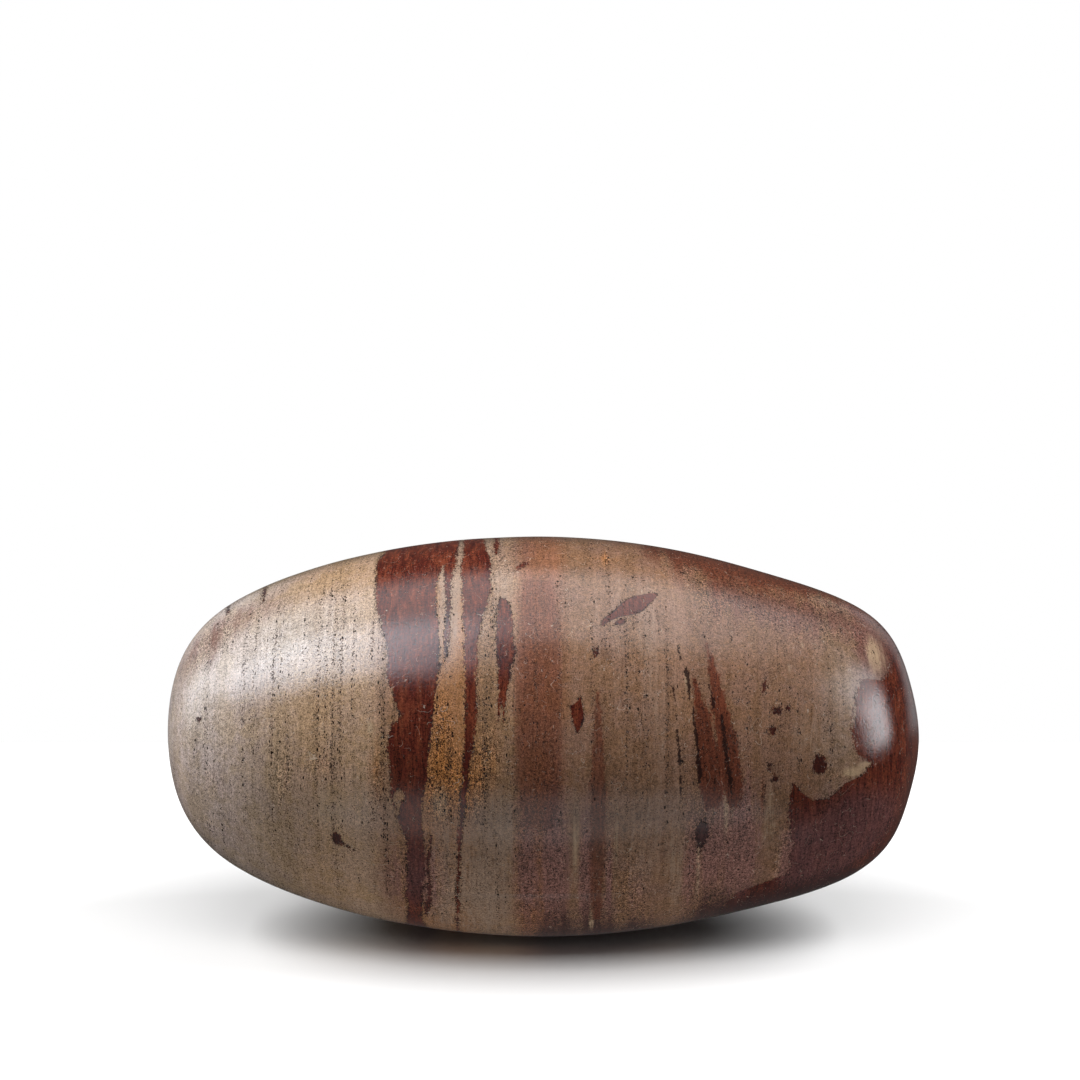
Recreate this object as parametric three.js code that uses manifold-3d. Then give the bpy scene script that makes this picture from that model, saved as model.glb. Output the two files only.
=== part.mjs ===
// A river-worn banded jasper stone, polished by hand into a long blunt egg and lying on its side.
// Millimetres, +Z up. The long axis runs along X and the front faces -Y. The origin is on the
// surface that the stone rests on, under the middle of its bounding box.

import * as THREE from 'three';
import { mergeVertices } from 'three/addons/utils/BufferGeometryUtils.js';
import Module from 'manifold-3d';

const LENGTH = 297.7; // along X, between the tips of the plain ellipsoid under the shape
const WIDTH = 161.7; // front to back, along Y
const HEIGHT = 159.9; // belly to back, along Z, before the resting flat is worn off
const SEAT_DEPTH = 0.9; // what the resting flat takes off the belly
const LEAN = 1; // how far the left tip stands above the middle, and the right tip below it

// What makes the egg blunt: a shoulder round each end, where the ellipsoid swells by this share
// at this angle from the tip, as seen from the middle, fading over spread (both in degrees).
const LEFT_SHOULDER = { angle: 38.4, spread: 17.8, swell: 0.076 };
const RIGHT_SHOULDER = { angle: 35.6, spread: 10.8, swell: 0.061 };

// Broad faces that the river and the polishing wore slightly flat, and low swells between them.
// along is the place on X, girth the angle round it (0 front, 90 top, 180 back, 270 underside),
// reach how far the face spreads and depth how much it takes off, in mm and degrees. A swell
// has a depth below zero.
const WORN_FACES = [
  { along: -111, girth: 95, reach: 30, depth: 1.5 },
  { along: -111, girth: 285, reach: 30, depth: 1.5 },
  { along: -91, girth: 20, reach: 34, depth: 0.9 },
  { along: -60, girth: 205, reach: 46, depth: 1.8 },
  { along: 18, girth: 150, reach: 40, depth: 1.3 },
  { along: 40, girth: 318, reach: 36, depth: 0.8 },
  { along: 95, girth: 232, reach: 38, depth: 1.6 },
  { along: -141, girth: 85, reach: 20, depth: -1.0 },
  { along: -103, girth: 150, reach: 28, depth: -0.8 },
  { along: -20, girth: 42, reach: 30, depth: -0.7 },
  { along: 70, girth: 172, reach: 34, depth: -0.9 },
  { along: 107, girth: 285, reach: 30, depth: -1.6 },
  { along: 137, girth: 75, reach: 22, depth: -1.0 },
];

const SPHERE_DETAIL = 19; // subdivisions of the icosahedron: 20 x (detail + 1)^2 triangles

const { clamp, degToRad, radToDeg } = THREE.MathUtils;
const half = new THREE.Vector3(LENGTH / 2, WIDTH / 2, HEIGHT / 2);

function bell(distance, spread) {
  return Math.exp(-0.5 * (distance / spread) ** 2);
}

// The swell at an angle from the tip. The second bell is the shoulder across the tip, which
// keeps the tip smooth.
function shoulderSwell({ angle, spread, swell }, fromTip) {
  return swell * (bell(fromTip - angle, spread) + bell(fromTip + angle, spread));
}

// The plain form: a unit direction, pushed out by both shoulders, then stretched and leaned.
function plainPoint(direction) {
  const fromRight = radToDeg(Math.acos(clamp(direction.x, -1, 1)));
  const reach = 1 + shoulderSwell(RIGHT_SHOULDER, fromRight) + shoulderSwell(LEFT_SHOULDER, 180 - fromRight);
  const point = direction.clone().multiplyScalar(reach).multiply(half);
  point.z -= (LEAN * point.x) / half.x;
  return point;
}

// The unit direction whose plain point has this place on X and this angle round it.
function directionAt(along, girth) {
  const angle = degToRad(girth);
  let low = -1;
  let high = 1;
  for (let step = 0; step < 40; step++) {
    const share = (low + high) / 2;
    const radius = Math.sqrt(1 - share * share);
    const point = plainPoint(new THREE.Vector3(share, -radius * Math.cos(angle), radius * Math.sin(angle)));
    if (point.x < along) low = share;
    else high = share;
  }
  const radius = Math.sqrt(1 - low * low);
  return new THREE.Vector3(low, -radius * Math.cos(angle), radius * Math.sin(angle));
}

const faces = WORN_FACES.map((face) => ({
  ...face,
  centre: plainPoint(directionAt(face.along, face.girth)),
}));

// A point of the finished skin: the plain point, taken in by each worn face as a bell curve
// of its distance from the face's centre.
function skinPoint(direction) {
  const point = plainPoint(direction);
  const outward = point.clone().divide(half).divide(half).normalize();
  let taken = 0;
  for (const { centre, reach, depth } of faces) {
    taken += depth * bell(point.distanceTo(centre), reach);
  }
  return point.addScaledVector(outward, -taken);
}

function skinGeometry() {
  const geometry = new THREE.IcosahedronGeometry(1, SPHERE_DETAIL);
  geometry.deleteAttribute('normal');
  geometry.deleteAttribute('uv');
  const skin = mergeVertices(geometry);
  const position = skin.getAttribute('position');
  const direction = new THREE.Vector3();
  for (let i = 0; i < position.count; i++) {
    direction.fromBufferAttribute(position, i).normalize();
    position.setXYZ(i, ...skinPoint(direction));
  }
  return skin;
}

const wasm = await Module();
wasm.setup();

function toSolid(geometry) {
  return new wasm.Manifold(
    new wasm.Mesh({
      numProp: 3,
      vertProperties: geometry.getAttribute('position').array,
      triVerts: new Uint32Array(geometry.index.array),
    }),
  );
}

function toGeometry(solid) {
  const { vertProperties, triVerts } = solid.getMesh();
  const geometry = new THREE.BufferGeometry();
  geometry.setAttribute('position', new THREE.BufferAttribute(vertProperties, 3));
  geometry.setIndex(new THREE.BufferAttribute(triVerts, 1));
  return geometry;
}

// The skin with its resting flat worn off, stood on the origin by its bounding box.
function stoneGeometry() {
  const skin = skinGeometry();
  skin.computeBoundingBox();
  const below = new THREE.BoxGeometry(LENGTH, WIDTH, HEIGHT);
  below.translate(0, 0, skin.boundingBox.min.z + SEAT_DEPTH - HEIGHT / 2);
  below.deleteAttribute('normal');
  below.deleteAttribute('uv');
  const stone = toGeometry(toSolid(skin).subtract(toSolid(mergeVertices(below))));
  stone.computeBoundingBox();
  const { min, max } = stone.boundingBox;
  stone.translate(-(min.x + max.x) / 2, -(min.y + max.y) / 2, -min.z);
  stone.computeVertexNormals();
  return stone;
}

const polishedJasper = new THREE.MeshStandardMaterial({
  name: 'polished jasper',
  color: 0x8f7259,
  roughness: 0.32,
  metalness: 0,
});

const stone = new THREE.Mesh(stoneGeometry(), polishedJasper);
stone.name = 'stone';

const lingamStone = new THREE.Group();
lingamStone.name = 'shiva_lingam_stone';
lingamStone.add(stone);

export default lingamStone;
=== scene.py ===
import math
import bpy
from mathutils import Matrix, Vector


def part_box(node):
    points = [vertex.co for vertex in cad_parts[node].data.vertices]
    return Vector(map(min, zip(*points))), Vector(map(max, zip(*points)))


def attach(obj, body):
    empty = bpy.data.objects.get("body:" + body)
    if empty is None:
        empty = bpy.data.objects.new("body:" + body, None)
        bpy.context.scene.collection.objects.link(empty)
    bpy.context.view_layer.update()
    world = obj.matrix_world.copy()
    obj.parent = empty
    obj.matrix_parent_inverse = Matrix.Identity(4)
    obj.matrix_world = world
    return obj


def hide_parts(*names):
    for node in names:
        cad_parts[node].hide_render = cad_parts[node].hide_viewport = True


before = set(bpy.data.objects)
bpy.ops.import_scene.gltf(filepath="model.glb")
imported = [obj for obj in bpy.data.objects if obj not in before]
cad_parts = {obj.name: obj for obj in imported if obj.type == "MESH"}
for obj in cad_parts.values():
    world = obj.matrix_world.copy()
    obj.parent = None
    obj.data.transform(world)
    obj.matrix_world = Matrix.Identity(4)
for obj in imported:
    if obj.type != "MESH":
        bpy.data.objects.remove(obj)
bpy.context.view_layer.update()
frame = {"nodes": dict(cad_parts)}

from types import SimpleNamespace

import bpy
import numpy as np
from mathutils import Vector

mm = 0.001
print("frame loaded:", ", ".join(frame["nodes"]))


# The stone's form, in mm and degrees. Girth goes round the long axis: 0 is the front,
# 90 the top, 180 the back and -90 the underside. Along is the place on X.
stoneForm = {
    "length": 297.7,
    "width": 161.7,
    "height": 159.9,
    "lean": 1.0,  # how far the left tip stands above the middle, and the right tip below
    "seatDepth": 0.9,  # what the resting flat takes off the belly
    "seatRound": 0.6,  # how softly the flat's rim rolls over
    "leftShoulder": (38.4, 17.8, 0.076),  # angle from the tip, spread, swell
    "rightShoulder": (35.6, 10.8, 0.061),
    "wornFaces": [  # along, girth, reach, depth; a depth below 0 is a swell
        (-111, 95, 30, 1.5),
        (-111, 285, 30, 1.5),
        (-91, 20, 34, 0.9),
        (-60, 205, 46, 1.8),
        (18, 150, 40, 1.3),
        (40, 318, 36, 0.8),
        (95, 232, 38, 1.6),
        (-141, 85, 20, -1.0),
        (-103, 150, 28, -0.8),
        (-20, 42, 30, -0.7),
        (70, 172, 34, -0.9),
        (107, 285, 30, -1.6),
        (137, 75, 22, -1.0),
    ],
    "waves": 9,  # hand polishing leaves low waves
    "waveDepth": 0.05,
    "waveLength": (22, 60),
    "waveSeed": 7,
    "rings": 440,
    "sides": 214,
    "searchSteps": 2000,  # points of the profile that is searched for a place on X
    "arcSteps": 4000,  # points of the profile that is measured along its arc
}


def bell(distance, spread):
    # exp(-half the square of distance over spread)
    return np.exp(-0.5 * (distance / spread) ** 2)


def plainSurface(fromRight, girth):
    # A unit direction at the angle fromRight from the right tip, pushed out by the two
    # shoulders' bells, stretched to the ellipsoid and leaned; and its outward direction.
    half = np.array([stoneForm["length"], stoneForm["width"], stoneForm["height"]]) / 2
    reach = 1.0
    for tipAngle, key in ((fromRight, "rightShoulder"), (np.pi - fromRight, "leftShoulder")):
        angle, spread, swell = stoneForm[key]
        turned = np.degrees(tipAngle)
        reach = reach + swell * (bell(turned - angle, spread) + bell(turned + angle, spread))
    radius = np.sin(fromRight)
    direction = (np.cos(fromRight) + 0 * girth, -radius * np.cos(girth), radius * np.sin(girth))
    point = np.stack(direction, -1) * reach[..., None] * half
    point[..., 2] -= stoneForm["lean"] * point[..., 0] / half[0]
    outward = point / half**2
    return point, outward / np.linalg.norm(outward, axis=-1, keepdims=True)


def tipAngleAt(along):
    # The angle from the right tip where the plain profile is at this place on X.
    angles = np.linspace(0, np.pi, stoneForm["searchSteps"])
    profile = plainSurface(angles, 0 * angles)[0][:, 0]
    return np.interp(along, profile[::-1], angles[::-1])


def polishWaves(point):
    # A sum of faint plane waves with seeded directions and lengths.
    dice = np.random.default_rng(stoneForm["waveSeed"])
    height = 0.0
    for _ in range(stoneForm["waves"]):
        heading = dice.normal(size=3)
        heading = heading / np.linalg.norm(heading)
        length = dice.uniform(*stoneForm["waveLength"])
        height = height + np.sin(2 * np.pi * (point @ heading) / length + dice.uniform(0, 2 * np.pi))
    return stoneForm["waveDepth"] * height / math.sqrt(stoneForm["waves"])


def stoneSurface(fromRight, girth):
    # The plain surface, taken in by each worn face as a bell curve of the distance to its
    # centre, with the polishing waves on top.
    point, outward = plainSurface(fromRight, girth)
    taken = 0.0
    for along, faceGirth, reach, depth in stoneForm["wornFaces"]:
        centre = plainSurface(np.array(tipAngleAt(along)), np.array(math.radians(faceGirth)))[0]
        taken = taken + depth * bell(np.linalg.norm(point - centre, axis=-1), reach)
    return point + outward * (polishWaves(point) - taken)[..., None]


def seated(point):
    # The belly is worn to a flat with a soft rim: height becomes (h + sqrt(h^2 + rim^2)) / 2.
    level = point[..., 2].min() + stoneForm["seatDepth"]
    above = point[..., 2] - level
    point[..., 2] = (above + np.sqrt(above**2 + stoneForm["seatRound"] ** 2)) / 2
    return point


def stoneGrid():
    # Rings at equal steps of arc along the front profile, and sides at equal angles.
    rings, sides = stoneForm["rings"], stoneForm["sides"]
    fine = np.linspace(0, np.pi, stoneForm["arcSteps"])
    profile = plainSurface(fine, 0 * fine)[0]
    arc = np.concatenate([[0], np.cumsum(np.linalg.norm(np.diff(profile, axis=0), axis=1))])
    share = np.linspace(0, 1, rings + 2)
    fromRight = np.interp(share * arc[-1], arc, fine)
    girth = np.arange(sides) * 2 * np.pi / sides
    return share, fromRight, girth


# Markings with crisp edges, as rows of girth, left edge and right edge (degrees, mm, mm).
# A band that closes round the stone is repeated every 360 degrees.
darkBands = {
    "greatBand": [
        (-120, -55, -44), (-95, -53, -42), (-75, -56, -45), (-60, -55, -48), (-55, -54.6, -48.6),
        (-50, -54, -47.8), (-45, -53.3, -47.5), (-40, -54.2, -47.5), (-35, -53.2, -47),
        (-28, -53, -45.8), (-22, -52.4, -45.8), (-17, -52.6, -46), (-13, -55.4, -47),
        (-8, -57, -46.8), (-4, -58.4, -46.2), (0, -58.4, -45.2), (6, -58.8, -44.5),
        (13, -59.4, -43.4), (18, -57.4, -42.6), (22, -57, -42.1), (26, -57.8, -41.6),
        (30, -59.6, -40.8), (33, -59.9, -40.4), (34.5, -60, -38), (40, -60.6, -37),
        (45, -61.8, -36.6), (50, -63.4, -36.4), (53, -64.6, -36.5), (60, -65.4, -36.9),
        (65, -65.8, -36.2), (70, -66, -35.2), (77, -66.5, -34.8), (86, -65.4, -34.7),
        (91, -64, -34.5), (100, -64.6, -34.6), (108, -65.5, -36), (122, -68, -38),
        (142, -63, -41), (165, -60, -36), (190, -63, -40), (215, -60, -46),
    ],
    "secondBand": [
        (-120, -38, -29), (-90, -35.6, -33.2), (-62, -35, -34.2), (-45, -34.6, -33.9),
        (-35, -34.4, -33.5), (-25, -33.6, -32.8), (-17, -33.5, -32.2), (-13, -33.3, -31.5),
        (-9, -32.6, -30.9), (-4, -31.9, -30.2), (0, -31.6, -29.2), (6, -31.2, -28.7),
        (11, -30.8, -27.3), (16, -30.7, -26.8), (20, -30.5, -25.6), (25, -30.3, -26),
        (30, -30.5, -26.6), (35, -31, -26.2), (40, -31, -25.9), (46, -31.2, -24.8),
        (50, -31.8, -23.6), (53, -31.8, -22), (60, -32.3, -21.3), (70, -32.7, -21.8),
        (76, -32.4, -22.4), (80, -32.3, -23.8), (90, -32.8, -24.4), (100, -33, -26.6),
        (112, -33.6, -26), (130, -35, -29), (160, -33, -24), (185, -37, -27), (210, -40, -29),
    ],
    "tongue": [
        (17.6, -16.3, -15.9), (22.2, -16.4, -15.8), (22.6, -18.2, -15.6), (25, -18.1, -14.9),
        (29, -17.9, -14), (32, -18, -13.2), (35, -18.6, -12.6), (37, -18.7, -11.8),
        (40, -18.9, -12.7), (47, -18.9, -12.8), (50, -18.9, -13.5), (53, -18.3, -14.5),
        (54.6, -17.4, -16),
    ],
    "tongueTine": [(17.8, -18, -17.6), (20, -18.2, -17.4), (24, -18.2, -17.2)],
    "topSliver": [
        (75.4, -20.2, -19.8), (77, -20.6, -18.8), (82, -20.5, -18.3), (88, -20.4, -19),
        (96, -21, -19.2), (110, -22, -18.4), (124, -20.6, -20.2),
    ],
    "lowSliver": [
        (-52, -46.8, -46.4), (-46, -47, -45), (-42, -46.6, -44.4), (-38, -45.2, -44.2),
        (-33, -44.9, -44.1), (-29, -45, -44.5), (-25, -45.5, -44.8), (-22, -45, -43.8),
        (-18, -43.9, -43.1), (-15, -43.9, -43.6),
    ],
    "lens": [
        (45.4, 20.6, 21.2), (46, 20.2, 22.2), (47.5, 21, 24.2), (49, 22.8, 28), (50, 24.5, 33),
        (51, 25.5, 35.8), (53, 27.3, 38), (55, 29.8, 39.6), (57, 33, 41.3), (58.6, 37.5, 42.5),
        (59.2, 41, 42.4),
    ],
    "lensChip": [(46.2, 25, 26.6), (46.9, 25.5, 29.6), (47.6, 27, 30.2), (48.3, 28.6, 29.6)],
    "drop": [
        (14.8, 11.3, 11.6), (16, 10.4, 12.3), (17.5, 9.8, 13.6), (19, 9.5, 14), (21, 8.9, 13.5),
        (23, 8.6, 13), (23.4, 11.6, 12.9), (24.4, 12.2, 12.6),
    ],
    "smallLens": [(66.8, -11.6, -10.8), (68, -12, -8.5), (69, -10.5, -7.3), (70.4, -8.6, -7.4)],
    "cap": [
        (-120, 100, 170), (-60, 97, 170), (-40, 93, 170), (-24, 94, 170), (-14, 92, 170),
        (-8, 91.4, 170), (-4, 92, 170), (-1.2, 93, 170), (-0.8, 121, 170), (2, 123, 170),
        (4, 125, 170), (5, 122, 170), (7, 119, 170), (11, 117.4, 170), (16, 116, 170),
        (22, 117.2, 170), (30, 118.4, 170), (36, 119.4, 170), (38.5, 121, 170), (40.5, 129, 170),
        (46, 132.4, 170), (52, 134, 170), (60, 136, 170), (72, 139, 170), (95, 141, 170),
        (125, 137, 170), (150, 130, 170), (180, 122, 170), (208, 112, 170),
    ],
    "lowPatch": [
        (-104, 95, 97), (-98, 86, 106), (-88, 80, 112), (-75, 72, 113), (-62, 69, 110),
        (-56, 70, 106.6), (-51, 70, 102), (-48, 71, 100.6), (-46, 73, 99.6), (-44, 77, 98.6),
        (-42.6, 84, 97.8), (-41, 91, 96),
    ],
    "backLens": [
        (150, 8, 9), (153, 2, 13), (158, -1, 19), (163, 4, 27), (167, 15, 30), (170, 26, 31),
    ],
    "backPatch": [
        (196, 60, 63), (201, 55, 70), (208, 57, 76), (214, 64, 80), (219, 74, 78),
    ],
    "underBand": [
        (-122, 22, 24), (-112, 20, 27), (-100, 21, 26), (-92, 19, 23), (-84, 20, 21),
    ],
}

# How ragged a dark band's edge is, where it isn't the usual 0.8.
usualRaggedness = 0.8
edgeRaggedness = {
    "cap": 1.4,
    "lowPatch": 1.4,
    "lens": 0.2,
    "lensChip": 0.15,
    "drop": 0.25,
    "tongue": 0.6,
}

# Pale inclusions and inlets that cut into the dark bands.
lightCuts = {
    "slit": [
        (34, -40.3, -38.2), (40, -40.3, -38.6), (45, -40.9, -38.4), (50, -41.6, -38.2),
        (55, -42, -38.3), (60, -42.3, -38.9), (65, -41.7, -39.3), (68, -41, -39.6),
        (71, -40.2, -39.8),
    ],
    "inclusion": [
        (-9.6, -56.2, -55.6), (-8, -57, -54.6), (-6.4, -56.6, -55), (-5, -57.6, -53.8),
        (-3.4, -57, -52.8), (-2, -55.6, -54.6), (-1.4, -55.2, -54.8),
    ],
    "gap": [
        (17.2, -57, -56.6), (18.4, -57.4, -55.4), (20, -57, -54.6), (21.4, -57.3, -55.8),
        (23, -57.2, -56.8),
    ],
    "notch": [
        (-8.6, 101, 107), (-7, 99, 109.4), (-5, 96.6, 111.6), (-3.4, 95, 113.4), (-2.6, 94.4, 118.4),
        (-1, 93.2, 120.4), (0, 93, 121.4), (1, 100, 122),
    ],
}

# Red veins with softer edges.
veins = {
    "leftVein": [
        (-8, 59.6, 64), (-4, 58.2, 66.2), (0, 57, 65.8), (6, 56.4, 64.8), (14, 55.8, 62.8),
        (20, 55.4, 60.8), (26, 55.2, 58.2), (31, 55, 55.8),
    ],
    "rightVein": [
        (-8, 69, 72.4), (-3, 67, 73.2), (2, 65.8, 73), (8, 64.8, 72), (14, 63.8, 70.8),
        (20, 62.4, 69), (26, 61.6, 66.8), (32, 61.2, 64.8), (38, 60.8, 62.6), (43, 60.4, 60.9),
    ],
    "redZone": [
        (-12, -8, 2), (-6, -10.6, 4.6), (0, -11.4, 5.6), (10, -12, 5.4), (24, -12, 5.8),
        (38, -11.6, 5.6), (48, -10.6, 5), (62, -9, 2),
    ],
    "darkColumn": [
        (-50, 17.4, 20.8), (-34, 16.6, 21.4), (-22, 16.2, 21.8), (-10, 16.6, 22.2),
        (-2, 16.4, 22.8), (6, 16.8, 22), (14, 17.4, 21), (26, 18.2, 19.8),
    ],
}

# Narrow cracks, dark inside.
fissures = {
    "crackA": [(36.6, 50.4, 50.9), (38, 49.6, 50.6), (39, 49.2, 50), (41, 49.2, 49.6)],
    "crackB": [
        (25, 53.2, 53.5), (27, 53, 53.8), (29, 53.1, 54), (32, 51.9, 53.2), (34.6, 52.3, 52.7),
    ],
    "crackC": [
        (0.6, 57, 57.4), (3, 56.6, 58), (6, 56.2, 57.5), (10, 55.8, 57), (15, 55.3, 56.2),
        (20, 54.3, 55.2), (22.6, 54.8, 55.1),
    ],
    "crackD": [(22.4, 62.1, 62.6), (24, 62, 63.2), (27, 61.2, 62.1), (30, 60.6, 61)],
    "crackE": [
        (-3.2, 68.9, 69.2), (-1, 68.6, 69.5), (2, 68, 69.6), (6, 67.2, 68.4), (10, 66.8, 67.7),
        (14, 66.3, 67.1), (18, 65.2, 66.3), (20.6, 65, 65.4),
    ],
    "crackF": [(-5, 50, 50.3), (5, 49.5, 50), (12, 48.8, 49.6), (16, 48.4, 48.8)],
    "crackG": [(19, 48.5, 48.7), (28, 47.2, 47.5)],
}

# Small dark spots: along, girth, half width in mm, half height in degrees, tilt in degrees.
smallSpots = [
    (103.4, 4, 2.6, 4.3, 8),
    (87, 22.8, 1.7, 1.5, -20),
    (91, 23.5, 0.8, 1.1, 10),
    (-75.6, -22.2, 2.4, 0.7, -25),
    (84.6, 16, 2.2, 1.2, 35),
    (84.1, 5, 1.0, 1.1, 0),
    (86, 0.6, 1.3, 1.3, 0),
    (82.3, 30.4, 0.7, 1.7, -8),
    (-79.4, -19.8, 2.0, 2.2, 10),
    (58.4, -16, 2.4, 5.0, 0),
    (18.2, 37.6, 1.2, 1.3, 0),
    (-133.6, 20.8, 1.4, 1.2, 0),
    (-111.2, 82, 0.8, 7.5, 3),
    (-126, 84, 0.7, 6, 3),
    (-30, 148, 2.4, 1.8, 30),
    (-96, 172, 3.0, 2.0, -30),
    (-118, 214, 1.6, 3.0, 10),
    (38, 204, 2.2, 2.6, 15),
    (96, 158, 2.0, 3.4, -10),
    (14, 238, 1.5, 3.2, 0),
    (-84, 120, 1.8, 1.4, 20),
]

# Soft stains: along, girth, spread in mm, spread in degrees, strength.
rustClouds = [
    (-3, 24, 5, 18, 0.25),
    (0, -3, 4.5, 9, 0.3),
    (-5, 50, 5, 9, 0.25),
    (62, 10, 7, 12, 0.35),
    (64, 56, 3, 7, 0.35),
    (81.5, -5, 0.7, 5, 0.7),
    (88, 88, 26, 9, 0.9),
    (58, 88, 14, 10, 0.6),
    (76, 72, 14, 5, 0.3),
    (70, 112, 34, 16, 0.7),
    (121, 54, 3, 7, 0.35),
    (-118, -28, 3, 6, 0.2),
    (-124, -4, 2, 5, 0.2),
    (138, 5, 4, 60, 0.5),
    (90, 172, 20, 20, 0.5),
    (10, 176, 14, 22, 0.45),
    (-16, 208, 8, 26, 0.5),
    (60, 232, 22, 18, 0.5),
    (-90, 236, 14, 14, 0.25),
]
ochreClouds = [
    (-40, 2, 4, 9, 0.8),
    (-29, 0, 4, 7, 0.7),
    (-21, 8, 4, 7, 0.45),
    (-39, 20, 3, 6, 0.35),
    (16, 74, 13, 1.6, 0.35),
    (22.8, 74, 0.9, 6, 0.5),
    (-63, 2, 3, 9, 0.35),
    (-85, 4, 10, 7, 0.25),
    (-100, -4, 3, 10, 0.3),
    (-128, -8, 5, 7, 0.25),
    (110, 0, 9, 2.4, 0.25),
    (59, 3, 1.2, 2.4, 0.9),
    (-80, 86, 24, 8, 0.12),
    (-30, 132, 10, 16, 0.5),
    (40, 150, 16, 10, 0.4),
    (-100, 186, 18, 14, 0.3),
]
mauveClouds = [
    (-8, -28, 2.8, 16, 1),
    (3, -26, 3.4, 16, 1.06),
    (14.6, -28, 1.8, 16, 1),
    (23.4, -30, 1.2, 14, 0.88),
    (33, -36, 5, 10, 0.44),
    (54.4, -28, 2, 16, 0.75),
    (62, -24, 3.6, 14, 1.06),
    (74, -26, 4.4, 18, 1.19),
    (95, -34, 5, 12, 1.06),
    (108, -36, 8, 14, 1),
    (122, -26, 12, 14, 1.12),
    (-50, -32, 9, 12, 0.75),
    (100, 224, 24, 24, 0.62),
    (30, 206, 12, 18, 0.5),
]
# Darker towards the underside: low along the front and under the belly.
plumClouds = [
    (2, -62, 8, 14, 0.55),
    (20, -62, 7, 16, 0.6),
    (36, -64, 6, 14, 0.55),
    (62, -58, 5, 15, 0.6),
    (80, -56, 12, 10, 0.5),
    (110, -60, 16, 14, 0.6),
    (50, -94, 60, 20, 0.8),
    (104, 234, 26, 20, 0.5),
]
pinkClouds = [
    (-134, 60, 10, 14, 0.5),
    (-112, 68, 14, 8, 0.3),
    (-12, 78, 8, 10, 0.4),
    (68, 66, 12, 8, 0.6),
    (94, 62, 14, 8, 0.8),
    (114, 68, 10, 10, 0.5),
    (-20, 160, 20, 18, 0.4),
]
paleClouds = [
    (-40, -5, 3, 5, 0.4),
    (-84, -8, 8, 8, 0.35),
    (11, -16, 1.0, 12, 0.5),
    (26, -20, 0.8, 16, 0.5),
    (17.4, -50, 0.8, 8, 0.5),
    (57.6, -32, 0.8, 13, 0.45),
    (67.6, -8, 0.8, 7, 0.55),
    (63.4, 3, 0.5, 6, 0.5),
    (66.4, 9, 0.4, 5, 0.5),
    (52.6, 30, 0.7, 3, 0.5),
    (46, -18, 8, 10, 0.25),
    (85.4, -14, 2.6, 11, 0.45),
    (88.6, -34, 1.0, 8, 0.35),
    (98, -32, 0.7, 9, 0.6),
    (101, -38, 0.7, 9, 0.6),
    (107, -32, 0.8, 9, 0.5),
    (111.6, -32, 0.8, 5, 0.5),
    (-4, 25, 0.6, 5, 0.35),
    (117, 0.6, 3.4, 1.2, 1.0),
    (122, 3, 2.2, 1.1, 1.0),
    (128, 54, 3.5, 8, 0.6),
    (92, 38, 0.7, 1.6, 0.6),
    (98, 48, 0.7, 1.4, 0.6),
    (-138, -13, 2.4, 2, 0.5),
    (-66, 16, 1.0, 0.8, 1.0),
    (31.5, 47.8, 0.7, 1.4, 0.8),
    (60.5, 3, 0.7, 1.2, 0.7),
    (36, 190, 1.4, 18, 0.6),
    (-8, 196, 1.0, 16, 0.5),
]
ashClouds = [
    (-38, -38, 6, 20, 0.75),
    (-23, -36, 6, 20, 0.75),
    (-16, -12, 3, 8, 0.4),
    (34, -20, 6, 16, 0.45),
    (48.6, -30, 2.6, 18, 0.5),
    (40, 14, 8, 14, 0.2),
    (-38, 62, 4, 20, 0.7),
    (-30, 84, 10, 14, 0.7),
    (-18, 66, 6, 16, 0.5),
    (30, 44, 15, 17, 0.35),
    (103, 14, 9, 10, 0.45),
]
# Painted sheen: whiter patches laid where the highlights fall, on the left front, the left end, the
# left shoulder and the right end.
paintedSheenClouds = [
    (-96, 50, 22, 11, 0.55),
    (-134, 30, 9, 26, 0.4),
    (-124, 84, 12, 8, 0.35),
    (125, 34, 5, 8, 0.25),
]
# Painted shade: the top is darkened.
topShadeClouds = [
    (-105, 94, 30, 8, 0.4),
    (-55, 97, 30, 7, 0.3),
    (0, 95, 34, 10, 0.5),
    (60, 98, 34, 8, 0.25),
    (110, 97, 20, 9, 0.4),
    (-60, 120, 60, 20, 0.5),
]
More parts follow.
